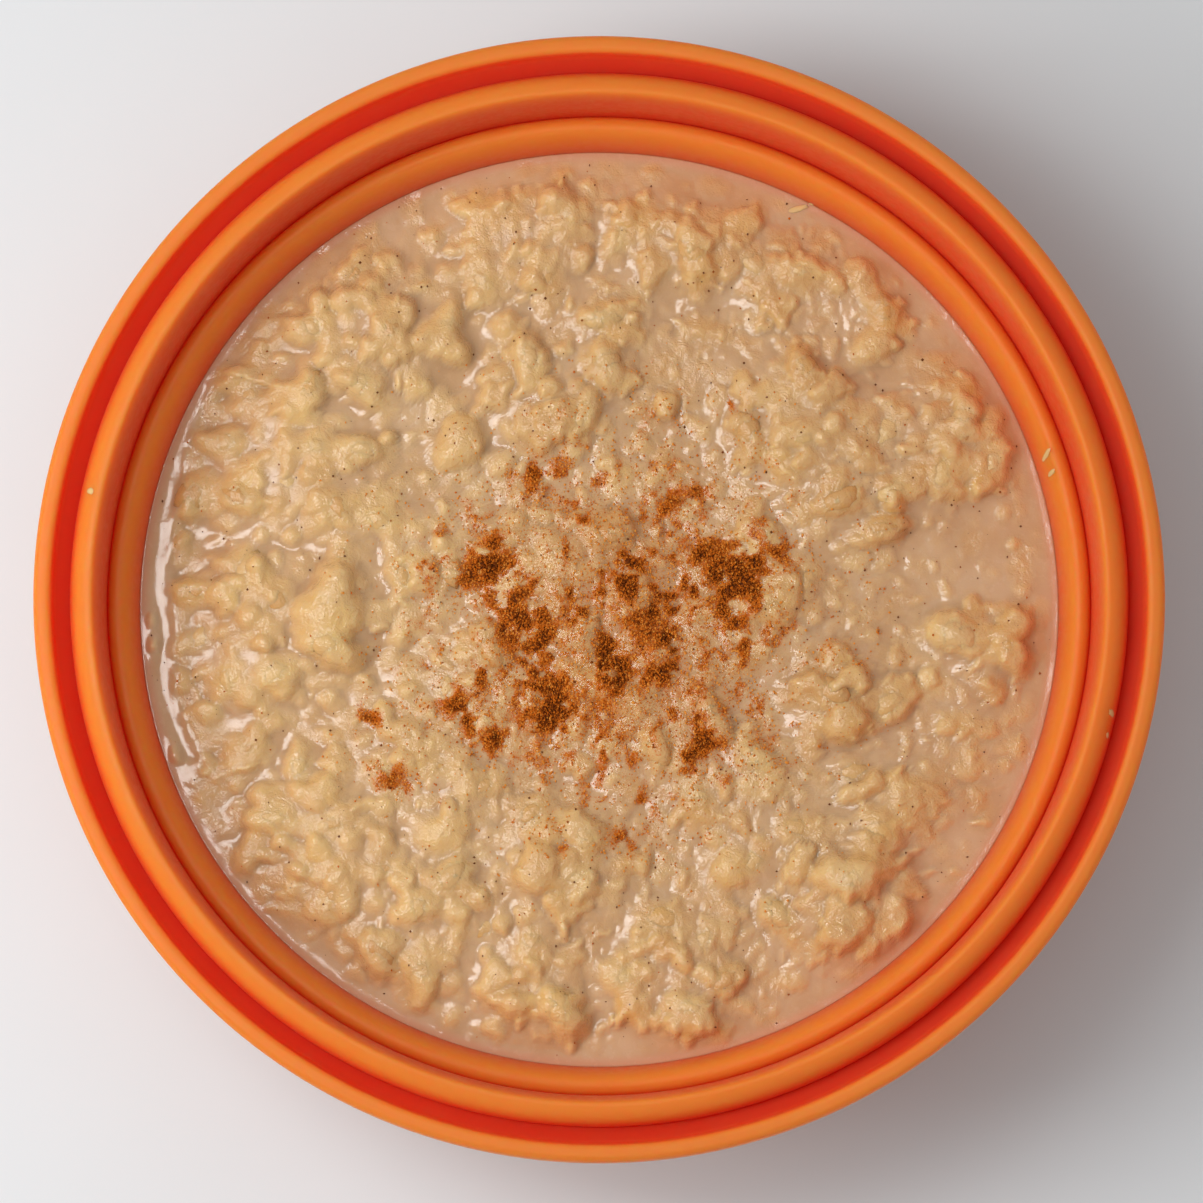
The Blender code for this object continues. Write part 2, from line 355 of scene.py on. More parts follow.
def makeDrops(bowlObject):
    tree, shader, material = newMaterial("driedMilk")
    plugIn(tree, shader, {
        "Base Color": drops["colour"],
        "Roughness": 0.25,
        "Subsurface Weight": 0.5,
        "Subsurface Radius": (1.0, 0.7, 0.4),
        "Subsurface Scale": 0.001,
    })
    wall = BVHTree.FromObject(bowlObject, bpy.context.evaluated_depsgraph_get())
    bm = bmesh.new()
    for x, y, length, width, degrees in drops["places"]:
        spot, normal, _, _ = wall.ray_cast(Vector((x * mm, y * mm, 0.1)), Vector((0, 0, -1)))
        if math.hypot(x, y) < edgeRadius:
            height = pudding["level"] + drops["aboveMilk"]
            spot, normal = Vector((x * mm, y * mm, height * mm)), Vector((0, 0, 1))
        lean = normal.to_track_quat("Z", "Y").to_matrix() @ Matrix.Rotation(math.radians(degrees), 3, "Z")
        for vert in bmesh.ops.create_icosphere(bm, subdivisions=3, radius=0.5)["verts"]:
            swell = 1 + drops["lumps"] * noise.noise(vert.co * 3 + Vector((x, y, 0)))
            shape = Vector((vert.co.x * length * swell, vert.co.y * width * swell, 0))
            shape.z = vert.co.z * drops["thickness"]
            vert.co = spot + lean @ shape * mm
    obj = meshObject("milkDrops", bm, material)
    obj.data.shade_smooth()
    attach(obj, "root")
    print("drops:", len(drops["places"]), "splashes of milk")


# the pudding's surface is worked out on a square field of heights, in millimetres

pudding = {
    "level": 36.0,  # the milk
    "cell": 0.2,  # the field's step
    "span": 70.0,  # and half its width
    "seed": 4,
    "flatWidth": 7.0,  # clumps run out flat over this distance from the wall
    "share": 0.8,  # how much of a clump the milk between its grains fills
    "warp": 2.2,  # how far the clumps' outlines wander
    "warpSize": 7.0,
    "riceEdge": (66.5, 58.5),  # the radii where the rice ends and where it stands in full
    "poolEdge": (0.75, 1.3),  # the same for a pool, as shares of its half widths
    "crumpled": (-26.0, 2.0),  # the rice gets rougher to the right between these
    "raggedSize": 2.6,  # how fine the torn outlines of the grains are
    "gridSide": 290,
    "tuck": 0.25,  # how far the surface reaches into the wall
    "wallTop": 33.0,  # where the hidden side begins
    "wallGap": 0.3,
    "wallCove": 1.0,
    "creviceSpread": 1.0,
    "creviceDepth": 0.45,
    "raisedSpread": 3.5,
    "filmSpread": 2.4,  # the film of milk lies at the surface's mean height over this distance
    "filmDrop": 0.1,
    "filmSoft": 0.7,
    "clumps": (  # x, y, radius, height
        (-34.7, 40.4, 14.0, 2.6), (-51.9, 24.0, 14.0, 2.2), (-39.2, 16.5, 12.0, 2.0),
        (-54.2, -4.5, 14.0, 2.4), (-40.0, -1.5, 8.5, 2.0), (-56.5, -19.5, 8.0, 1.4),
        (-12.3, 54.6, 11.0, 1.8), (7.2, 58.5, 9.0, 1.6), (13.9, 52.9, 8.0, 2.4),
        (-0.3, 41.9, 9.0, 1.6), (-7.8, 32.2, 9.5, 2.4), (32.6, 26.9, 14.0, 3.2),
        (37.1, 17.0, 10.0, 2.0), (51.3, 24.0, 10.0, 2.4), (27.4, 48.7, 7.5, 1.4),
        (39.4, 45.4, 7.0, 1.4), (-25.0, 8.0, 11.0, 1.6), (-4.5, 3.0, 16.0, 1.8),
        (8.0, -13.5, 16.0, 1.8), (-15.3, -12.0, 11.0, 1.6), (23.7, 2.5, 12.0, 1.5),
        (36.4, -12.0, 9.0, 2.4), (57.0, -5.0, 8.0, 1.4), (35.6, -41.9, 12.0, 3.2),
        (42.4, -29.0, 8.0, 2.2), (22.7, -29.4, 13.0, 1.6), (-6.3, -38.9, 12.0, 2.2),
        (-10.8, -56.0, 9.0, 1.8), (10.7, -54.6, 12.0, 1.6), (-39.2, -32.9, 13.0, 2.2),
        (-25.7, -44.4, 12.0, 2.2), (-23.3, -25.4, 12.0, 1.8),
    ),
    "pools": (  # open milk: x, y, half width, half height
        (-19.5, 37.0, 5.5, 7.5),
        (10.0, 46.5, 15.0, 4.5),
        (20.0, 60.5, 12.0, 4.0),
        (28.0, 56.5, 9.0, 4.5),
        (44.5, 11.0, 3.0, 9.0),
        (50.0, 43.0, 8.0, 8.0),
        (60.0, 34.0, 6.0, 11.0),
        (61.0, 10.0, 9.0, 11.0),
        (49.0, 4.0, 10.0, 8.0),
        (52.0, -43.0, 9.0, 12.0),
        (3.0, -63.5, 26.0, 4.0),
        (-54.0, -30.5, 6.0, 6.0),
        (-29.0, -6.5, 3.0, 5.5),
        (-47.0, 50.0, 8.0, 5.0),
    ),
    "mass": 0.5,  # how far the rice stands above the open milk everywhere else
    "shoreLine": (  # the wet left edge of the rice
        (-59.0, 34.5), (-60.2, 30.5), (-61.8, 27.0), (-63.2, 22.5), (-63.9, 17.5),
        (-65.0, 12.5), (-65.5, 7.5), (-65.2, 3.5), (-64.6, 0.0), (-64.0, -4.5),
        (-64.6, -9.0), (-64.2, -13.0), (-62.8, -17.0), (-61.4, -21.0), (-60.3, -24.8),
    ),
    "shoreBand": (-42.0, 5.0, 34.0),  # it is left of this x, and no further than that from y 5
    "shoreEnds": (31.0, 27.0),  # it fades out between these distances from y 5
    "shoreRise": (0.25, 1.6),  # its height and width
    "shoreSpread": 4.0,
    "shoreDetail": (0.8, 2.8),  # the grains begin and stand in full at these distances inward
    "shoreClimb": (2.0, 14.0),  # and so does the rice behind them
    "shoreHold": ((-2.5, -0.5), (16.0, 12.0)),  # all this fades out beyond these, outward and inward
    "meniscus": 0.35,  # how far the milk creeps up the wall
    "meniscusWidth": 0.9,
}


def wallRadius(height):  # the bowl's second tier
    crestRadius, crestHeight, footRadius, footHeight = bowl["tiers"][1]
    upright = 1 - (crestHeight - height) / (crestHeight - footHeight)
    return crestRadius - (crestRadius - footRadius) * math.sqrt(1 - upright * upright)


edgeRadius = wallRadius(pudding["level"])
count = round(2 * pudding["span"] / pudding["cell"]) + 1
axis = np.linspace(-pudding["span"], pudding["span"], count)
fieldX, fieldY = np.meshgrid(axis, axis, indexing="ij")
fieldR = np.hypot(fieldX, fieldY)


def noiseField(size, seed, octaves=1):  # soft seeded noise from -1 to 1, with bumps of that size
    total = np.zeros_like(fieldX)
    strength = 1.0
    for octave in range(octaves):
        draw = np.random.default_rng(seed * 17 + octave)
        cells = int(2 * pudding["span"] / size) + 4
        knots = draw.uniform(-1, 1, (cells, cells))
        place = (axis + pudding["span"]) / size + 1
        low = np.floor(place).astype(int)
        part = place - low
        part = part * part * (3 - 2 * part)
        rows = knots[low] * (1 - part)[:, None] + knots[low + 1] * part[:, None]
        total += strength * (rows[:, low] * (1 - part) + rows[:, low + 1] * part)
        size /= 2
        strength /= 2
    return total


def sampleField(field, x, y):
    u = np.clip((np.asarray(x) + pudding["span"]) / pudding["cell"], 0, count - 1.001)
    v = np.clip((np.asarray(y) + pudding["span"]) / pudding["cell"], 0, count - 1.001)
    i, j = u.astype(int), v.astype(int)
    s, t = u - i, v - j
    near = field[i, j] * (1 - t) + field[i, j + 1] * t
    far = field[i + 1, j] * (1 - t) + field[i + 1, j + 1] * t
    return near * (1 - s) + far * s


def clumpField(x, y):
    total = np.zeros_like(x)
    for centreX, centreY, radius, height in pudding["clumps"]:
        apart = np.minimum(np.hypot(x - centreX, y - centreY) / radius, 1)
        total += (height * (1 - apart**3) ** 1.5) ** 4
    toWall = np.clip((edgeRadius - np.hypot(x, y)) / pudding["flatWidth"], 0, 1)
    return total**0.25 * toWall


def smoothMax(first, second, soft):
    blend = np.clip(soft - np.abs(first - second), 0, None) / soft
    return np.maximum(first, second) + blend * blend * soft / 4


# rice in millimetres; a pressed grain is x, y, length, width, thickness, turn, rise and tint

rice = {
    "seed": 11,
    "looseCount": 108,
    "looseSpacing": 6.4,
    "looseLengths": (8.2, 6.4),
    "looseShow": 0.14,  # how far a loose grain stands out of its mound
    "slopeReach": 1.2,  # it leans as the surface does over this distance
    "looseBend": 0.4,
    "looseTip": 0.08,
    "looseLumps": 0.14,
    "radius": 62.5,
    "wholeSpacing": 4.6,
    "wholeLengths": (4.5, 8.5),
    "middleSpacing": 3.4,
    "middleLengths": (3.0, 5.6),
    "wetSpacing": 2.7,  # small pieces that stick out of the film of milk
    "wetLengths": (1.2, 4.2),
    "beadSpacing": 4.2,  # rounder wet grains in the left half
    "beadLengths": (2.6, 4.8),
    "crumbSpacing": 1.9,  # crumpled bits in the right half
    "crumbLengths": (1.0, 2.4),
    "bitSpacing": 2.1,
    "bitLengths": (1.4, 3.0),
    "openShare": 0.12,  # how many grains lie in open milk, against those in the clumps
    "press": {  # how softly each kind blends in, how ragged it is, and how far milk creeps up it
        "grain": (0.8, 0.55, 0.0),
        "wet": (0.45, 0.55, 0.06),
        "bead": (0.35, 0.25, 0.16),
        "hero": (0.9, 0.4, 0.3),
        "mound": (0.8, 0.55, 0.2),
        "crumb": (0.3, 0.55, 0.0),
    },
    "looseLeast": 0.65,  # the lowest clump that carries a loose grain
    "looseMound": (1.12, 1.15),  # a loose grain's mound against its length and width
    "grainBend": 0.08,
    "grainOutline": (2.4, 2.1),  # how square its ends and its sides are
    "wetTries": 9000,
    "layers": (  # tries, kind, width and thickness against the length, rise
        (9000, "bit", (0.6, 1.0), 0.6, (0.05, 0.5)),
        (9000, "middle", (0.55, 0.95), 0.5, (0.1, 0.9)),
        (7000, "whole", (0.5, 0.85), 0.36, (0.2, 1.2)),
    ),
    "small": {  # the same for the last small ones
        "bead": (9000, (0.65, 0.95), 0.6, (0.35, 0.85)),
        "crumb": (12000, (0.5, 1.0), 0.5, (0.03, 0.2)),
    },
    "heroes": (  # single grains that stand out: x, y, length, width, degrees, rise
        (-20.6, 24.3, 9.4, 6.8, 62, 1.7),
        (-40.1, -1.5, 11.5, 9.6, 10, 1.9),
        (40.4, 38.7, 7.2, 5.0, 25, 1.5),
        (9.9, 30.3, 3.6, 3.4, 0, 1.4),
        (-8.6, -39.0, 8.0, 6.0, 70, 1.5),
        (19.7, -38.7, 7.0, 5.6, 70, 1.3),
        (35.6, -39.9, 8.0, 5.0, 15, 1.8),
        (-29.0, -3.0, 7.0, 4.2, 70, 1.2),
        (-51.0, -36.0, 7.5, 4.0, 60, 1.3),
        (-40.8, -27.8, 6.5, 4.5, 30, 1.4),
        (36.5, -17.2, 6.0, 4.6, 30, 1.6),
        (35.0, -7.5, 5.0, 4.0, 80, 1.4),
    ),
}


def loosePlaces():
    draw = random.Random(rice["seed"])
    places = []
    while len(places) < rice["looseCount"]:
        x = draw.uniform(-rice["radius"], rice["radius"])
        y = draw.uniform(-rice["radius"], rice["radius"])
        clump = clumpField(np.float64(x), np.float64(y))
        if math.hypot(x, y) > rice["radius"] or clump < rice["looseLeast"]:
            continue
        if any(math.hypot(x - other[0], y - other[1]) < rice["looseSpacing"] for other in places):
            continue
        share = len(places) / rice["looseCount"]
        first, last = rice["looseLengths"]
        places.append((x, y, first + (last - first) * share))
    return places


def scatter(draw, tries, spacing, chance):
    # seeded places at least the spacing apart, kept with the chance that a function gives
    cells = {}
    places = []
    for _ in range(tries):
        x = draw.uniform(-edgeRadius, edgeRadius)
        y = draw.uniform(-edgeRadius, edgeRadius)
        if math.hypot(x, y) > edgeRadius - 2 or draw.random() > chance(x, y):
            continue
        key = (math.floor(x / spacing), math.floor(y / spacing))
        near = [p for i in (-1, 0, 1) for j in (-1, 0, 1) for p in cells.get((key[0] + i, key[1] + j), ())]
        if all(math.hypot(x - p[0], y - p[1]) >= spacing for p in near):
            cells.setdefault(key, []).append((x, y))
            places.append((x, y))
    return places


def fieldSlice(x, y, reach):
    low = [int(np.clip((c - reach + pudding["span"]) / pudding["cell"], 0, count - 1)) for c in (x, y)]
    high = [int(np.clip((c + reach + pudding["span"]) / pudding["cell"], 0, count - 1)) for c in (x, y)]
    return slice(low[0], high[0]), slice(low[1], high[1])


def pressGrain(fields, grain, kind):
    # raises the surface over one grain, with milk creeping up its side, and gives the place its tint
    soft, ragged, creep = rice["press"][kind]
    x, y, length, width, thickness, turn, rise, shade = grain
    part = fieldSlice(x, y, length / 2 + min(2.5, 0.8 + 0.6 * length))
    dx = fieldX[part] - x + ragged * fields["ragX"][part]
    dy = fieldY[part] - y + ragged * fields["ragY"][part]
    along = dx * math.cos(turn) + dy * math.sin(turn)
    across = dy * math.cos(turn) - dx * math.sin(turn)
    across = across - rice["grainBend"] * width * (along / length * 2) ** 2
    ends, sides = rice["grainOutline"]
    inside = 1 - np.abs(2 * along / length) ** ends - np.abs(2 * across / width) ** sides
    height = fields["height"]
    top = float(sampleField(height, x, y)) + rise
    cap = top - thickness / 2 * (1 - np.sqrt(np.clip(inside, 0, 1)))
    cap = np.where(inside > 0, cap, top - thickness / 2 + 1.5 * inside)
    before = height[part] + creep * np.exp(1.6 * np.minimum(inside, 0))
    cover = smoothStep(-0.3, 0.35, cap - before)
    height[part] = smoothMax(before, cap, soft)
    fields["kernel"][part] = np.maximum(fields["kernel"][part] * (1 - 0.4 * cover), cover)
    fields["tint"][part] = fields["tint"][part] * (1 - cover) + shade * cover


def blurred(field, size):  # a soft blur whose spread is in millimetres
    steps = np.fft.fftfreq(count, pudding["cell"])
    fall = np.exp(-2 * (math.pi * size * steps) ** 2)
    return np.real(np.fft.ifft2(np.fft.fft2(field) * fall[:, None] * fall[None, :]))


def shoreDistance():
    # distance from the wet left edge, positive towards the rice, and infinite beyond its ends
    points = np.array(pudding["shoreLine"])
    nearest = np.full_like(fieldX, np.inf)
    right, middle, reach = pudding["shoreBand"]
    part = (fieldX < right) & (np.abs(fieldY - middle) < reach)
    x, y = fieldX[part], fieldY[part]
    best = np.full_like(x, np.inf)
    for (x1, y1), (x2, y2) in zip(points, points[1:]):
        runX, runY = x2 - x1, y2 - y1
        along = ((x - x1) * runX + (y - y1) * runY) / np.hypot(runX, runY) ** 2
        held = np.clip(along, 0, 1)
        away = np.hypot(x - x1 - held * runX, y - y1 - held * runY)
        side = np.where((y - y1) * runX - (x - x1) * runY > 0, 1, -1)
        inside = (along > -0.3) & (along < 1.3)
        best = np.where(inside & (away < np.abs(best)), away * side, best)
    nearest[part] = best
    return nearest


def shoreFields():  # how far inward of the wet edge each place is, and how much that edge counts there
    inward = shoreDistance()
    near = np.isfinite(inward)
    inward = np.where(near, inward + 0.5 * noiseField(4, pudding["seed"] + 14, 2), 0)
    middle = pudding["shoreBand"][1]
    shored = np.where(near, smoothStep(*pudding["shoreEnds"], np.abs(fieldY - middle)), 0)
    return inward, shored


def startFields(inward, shored):  # the clumps before any grain is pressed, and how much rice there is
    seed = pudding["seed"]
    warpX = pudding["warp"] * noiseField(pudding["warpSize"], seed, 2)
    warpY = pudding["warp"] * noiseField(pudding["warpSize"], seed + 1, 2)
    clump = clumpField(fieldX + warpX, fieldY + warpY)
    lumpy = smoothStep(*pudding["riceEdge"], fieldR + 1.5 * noiseField(8, seed + 2, 2))
    for x, y, wide, tall in pudding["pools"]:
        apart = np.hypot((fieldX + warpX - x) / wide, (fieldY + warpY - y) / tall)
        lumpy = np.minimum(lumpy, smoothStep(*pudding["poolEdge"], apart))
    lumpy = np.maximum(lumpy, shored * smoothStep(0.5, 2.5, inward))
    clumpy = np.maximum(smoothStep(0.3, 1.2, clump), 0.75 * lumpy)
    fields = {
        "height": pudding["level"] + pudding["share"] * clump + 0.12 * noiseField(11, seed + 3),
        "kernel": np.zeros_like(clump),
        "tint": np.full_like(clump, 0.5),
        "ragX": noiseField(pudding["raggedSize"], seed + 7, 2),
        "ragY": noiseField(pudding["raggedSize"], seed + 8, 2),
    }
    fields["height"] += clumpy * (pudding["mass"] + 0.3 * noiseField(6, seed + 4, 3))
    return fields, clumpy


def grainChances(clumpy, crumpled):  # for grains all over, for the left half and for the right half
    least = rice["openShare"]

    def anywhere(x, y):
        return least + (1 - least) * float(sampleField(clumpy, x, y))

    def left(x, y):
        return anywhere(x, y) * (1 - float(sampleField(crumpled, x, y)))

    def right(x, y):
        return anywhere(x, y) * float(sampleField(crumpled, x, y))

    return anywhere, left, right


def pressSmall(fields, draw, kind, chance):
    tries, shape, thick, rises = rice["small"][kind]
    for x, y in scatter(draw, tries, rice[kind + "Spacing"], chance):
        length = draw.uniform(*rice[kind + "Lengths"])
        width, turned = length * draw.uniform(*shape), draw.uniform(0, math.pi)
        grain = (x, y, length, width, length * thick, turned, draw.uniform(*rises), draw.random())
        pressGrain(fields, grain, kind)


def pressLayers(fields, clumpy, anywhere, left):
    draw = random.Random(rice["seed"] + 5)
    pressed = 0
    for tries, kind, shape, thick, rises in rice["layers"]:
        for x, y in scatter(draw, tries, rice[kind + "Spacing"], anywhere):
            length = draw.uniform(*rice[kind + "Lengths"])
            rise = draw.uniform(*rises) * (0.25 + 0.75 * float(sampleField(clumpy, x, y)))
            width = length * draw.uniform(*shape)
            turned = draw.uniform(0, math.pi)
            pressGrain(fields, (x, y, length, width, length * thick, turned, rise, draw.random()), "grain")
            pressed += 1

    height = fields["height"]  # the film of milk fills what is low
    film = blurred(height, pudding["filmSpread"]) - pudding["filmDrop"]
    film += 0.1 * noiseField(4, pudding["seed"] + 12, 2)
    fields["kernel"] *= smoothStep(-0.25, 0.25, height - film)
    fields["height"] = smoothMax(height, film, pudding["filmSoft"])

    for x, y in scatter(draw, rice["wetTries"], rice["wetSpacing"], anywhere):
        length = draw.uniform(*rice["wetLengths"])
        rise = draw.uniform(0.06, 0.2) * min(length, 3.0)
        shape = (length, length * draw.uniform(0.4, 1.0), length * 0.5, draw.uniform(0, math.pi))
        pressGrain(fields, (x, y, *shape, rise, draw.random()), "wet")
    pressSmall(fields, draw, "bead", left)
    for x, y, length, width, degrees, rise in rice["heroes"]:
        hero = (x, y, length, width, width * 0.6, math.radians(degrees), rise, draw.uniform(0.3, 1))
        pressGrain(fields, hero, "hero")
    return pressed


def pressLoose(fields, right):  # mounds for the loose grains, and crumbs between them
    draw = random.Random(rice["seed"] + 9)
    longer, wider = rice["looseMound"]
    loose = []
    for x, y, length in loosePlaces():
        width, thick = length * draw.uniform(0.55, 0.7), length * draw.uniform(0.42, 0.5)
        turned, rise, shade = draw.uniform(0, math.pi), draw.uniform(0.6, 1.3), draw.random()
        mound = (x, y, length * longer, width * wider, thick, turned, rise - rice["looseShow"], shade)
        pressGrain(fields, mound, "mound")
        loose.append((x, y, length, width, thick, turned, shade))
    pressSmall(fields, draw, "crumb", right)
    return loose


def shapeShore(height, inward, shored):  # a low wet bank along the left edge, with still milk outside it
    rise, width = pudding["shoreRise"]
    level = pudding["level"]
    outer, inner = pudding["shoreHold"]
    broad = blurred(height, pudding["shoreSpread"])
    shore = level + rise * smoothStep(0, width, inward) + 0.04 * noiseField(5, pudding["seed"] + 15, 2)
    shore += 0.9 * (height - broad) * smoothStep(*pudding["shoreDetail"], inward)
    shore += (broad - level - rise) * smoothStep(*pudding["shoreClimb"], inward)
    hold = shored * smoothStep(*outer, inward) * smoothStep(*inner, inward)
    return height * (1 - hold) + shore * hold


def puddingFields():
    inward, shored = shoreFields()
    fields, clumpy = startFields(inward, shored)
    seed = pudding["seed"]
    crumpled = smoothStep(*pudding["crumpled"], fieldX + 6 * noiseField(14, seed + 16, 2))
    anywhere, left, right = grainChances(clumpy, crumpled)
    pressed = pressLayers(fields, clumpy, anywhere, left)
    loose = pressLoose(fields, right)
    height = fields["height"]
    height += 0.1 * clumpy * (0.4 + 0.6 * crumpled) * noiseField(1.5, seed + 6, 2)
    height = shapeShore(height, inward, shored)
    toWall = edgeRadius - fieldR
    calm = smoothStep(-0.5, 3, toWall)
    height = height * calm + pudding["level"] * (1 - calm)
    height += pudding["meniscus"] * np.exp(-np.clip(toWall, 0, None) / pudding["meniscusWidth"])
    fields["height"] = height
    # painted shade in hollows and painted light on raised tops, from how far the surface lies below or above
    # its blurred self
    hollowShade = (blurred(height, pudding["creviceSpread"]) - height) / pudding["creviceDepth"]
    fields["reliefShade"] = np.clip(hollowShade, -1, 1) * calm
    raisedPart = smoothStep(-0.35, 0.5, height - blurred(height, pudding["raisedSpread"]))
    kernel = np.clip(blurred(0.55 * fields["kernel"] + 0.55 * raisedPart, 0.55), 0, 1)
    fields["kernel"] = kernel * (1 - shored * smoothStep(2.4, 1.2, inward))
    fields["tint"] = blurred(fields["tint"], 0.6) * (0.4 + 0.6 * crumpled)
    print("pudding: pressed", pressed, "grains into the surface")
    return fields, loose


# cinnamon: heaps, wide thin dustings over them, and the colours of the powder

cinnamon = {
    "seed": 31,
    "wobble": 1.2,  # how far the heaps' outlines wander
    "patches": (  # x, y, radius, strength
        (-16.8, 6.8, 4.4, 1.15), (-19.5, 4.0, 3.2, 0.8), (-23.5, 8.5, 2.4, 0.7),
        (3.5, 4.2, 3.1, 2.0), (19.5, 4.9, 3.6, 2.1), (23.0, 7.0, 2.4, 1.2),
        (17.0, 7.4, 3.0, 0.8), (27.0, 8.5, 2.4, 0.6), (-8.5, 19.5, 3.0, 1.0),
        (-10.5, 17.0, 2.0, 0.9), (-6.3, 29.2, 1.8, 0.6), (-3.3, 15.8, 2.4, 1.0),
        (9.5, 15.0, 2.6, 0.9), (11.0, 10.8, 3.6, 0.6), (18.9, 29.8, 1.3, 1.2),
        (-33.6, -16.2, 2.4, 1.2), (-29.9, -26.3, 2.8, 1.0), (-21.0, -15.6, 3.2, 1.2),
        (-15.6, -19.5, 2.8, 1.1), (-8.4, -15.2, 4.6, 1.7), (1.0, -15.2, 3.0, 0.9),
        (2.0, -19.5, 3.4, 0.8), (-10.0, -3.2, 4.2, 2.0), (-8.6, -9.0, 2.6, 1.1),
        (6.0, -2.2, 3.4, 1.1), (10.5, -2.9, 2.8, 0.9), (5.0, -7.0, 4.0, 0.9),
        (8.5, -11.2, 3.0, 1.0), (-16.0, -10.2, 2.4, 0.9), (-0.3, -28.5, 1.6, 1.1),
        (3.5, -34.5, 2.0, 0.8), (-4.5, -35.7, 1.3, 0.8), (6.0, -27.5, 1.6, 1.1),
        (14.0, -12.0, 4.0, 0.6), (18.5, -3.8, 2.6, 0.6), (26.5, 9.2, 2.0, 0.6),
        (15.3, 16.8, 1.8, 0.7), (-25.3, 6.0, 2.0, 0.7), (-24.0, 8.5, 1.6, 0.8),
    ),
    "dusts": (  # wide thin dustings: centre, half widths, strength
        (3.5, -3.0, 27.0, 27.0, 0.95),
        (10.0, -15.0, 16.0, 12.0, 0.8),
        (14.0, -21.0, 11.0, 8.0, 0.8),
        (32.0, -5.0, 13.0, 8.0, 0.22),
        (12.0, 13.0, 16.0, 9.0, 0.25),
        (-33.0, -22.0, 7.0, 8.0, 0.18),
    ),
    "grains": 22000,
    "grainSizes": (0.18, 0.42),
    "grainLift": 0.25,  # how far a grain stands up, against its size
    "grainArea": ((-42, 46), (-48, 40)),
    "grainBatch": 4000,
    "crumbSeed": 77,
    "pile": 0.5,  # how high powder lies where it is thickest
    "specks": 1100,
    "speckSizes": (0.12, 0.42),
    "speckLift": 0.08,
    "stain": linear(200, 124, 52),
    "light": linear(230, 154, 64),
    "middle": linear(208, 110, 24),
    "dark": linear(118, 53, 9),
    "speck": linear(112, 68, 36),
}


def cinnamonField():
    seed = cinnamon["seed"]
    ragged = noiseField(2.4, seed, 3)
    field = np.zeros_like(fieldX)
    wobbleX = fieldX + cinnamon["wobble"] * noiseField(3.0, seed + 1, 2)
    wobbleY = fieldY + cinnamon["wobble"] * noiseField(3.0, seed + 2, 2)
    for x, y, radius, strength in cinnamon["patches"]:
        apart = np.hypot(wobbleX - x, wobbleY - y) / radius
        field = np.maximum(field, strength * np.exp(-apart * apart * 1.1))
    dust = np.zeros_like(fieldX)
    for x, y, wide, tall, strength in cinnamon["dusts"]:
        apart = np.hypot((fieldX - x) / wide, (fieldY - y) / tall)
        dust = np.maximum(dust, strength * np.exp(-(apart**2) * 1.4))
    clots = smoothStep(-0.1, 0.8, noiseField(2.6, seed + 5, 3))
    broken = noiseField(1.5, seed + 7, 3)
    field = field * (0.8 + 0.4 * ragged)
    field *= smoothStep(-0.5, 0.45, broken + 0.9 * field - 0.35)
    return np.clip(field + dust * (0.32 + 1.4 * clots * smoothStep(-0.5, 0.5, broken)), 0, 1.5)


look = {
    "milk": linear(212, 176, 136),
    "milkDark": linear(203, 162, 118),
    "grain": linear(230, 193, 124),
    "grainYellow": linear(208, 152, 70),
    # the next two are painted light and shade: a paler cream for raised tops, a brown for the hollows
    # between lumps
    "creamTopLight": linear(228, 197, 142),
    "reliefShade": linear(172, 122, 78),
    # painted light: the milk tinted by the orange wall's glow near it
    "edge": linear(214, 146, 108),
    "wallGlowWidth": (1.9, -0.2),  # painted light: where the orange wall's glow is painted into the milk, from this far in
    "cloudScale": 130,
    "fineScale": 800,
    "crumpleScale": 520,
    "gritScale": 3600,
    "bump": 0.5,
    "bumpHeight": 0.0008,
    "soft": 0.7,
    "grainSoft": 0.1,
    "coatRoughness": 0.035,
}


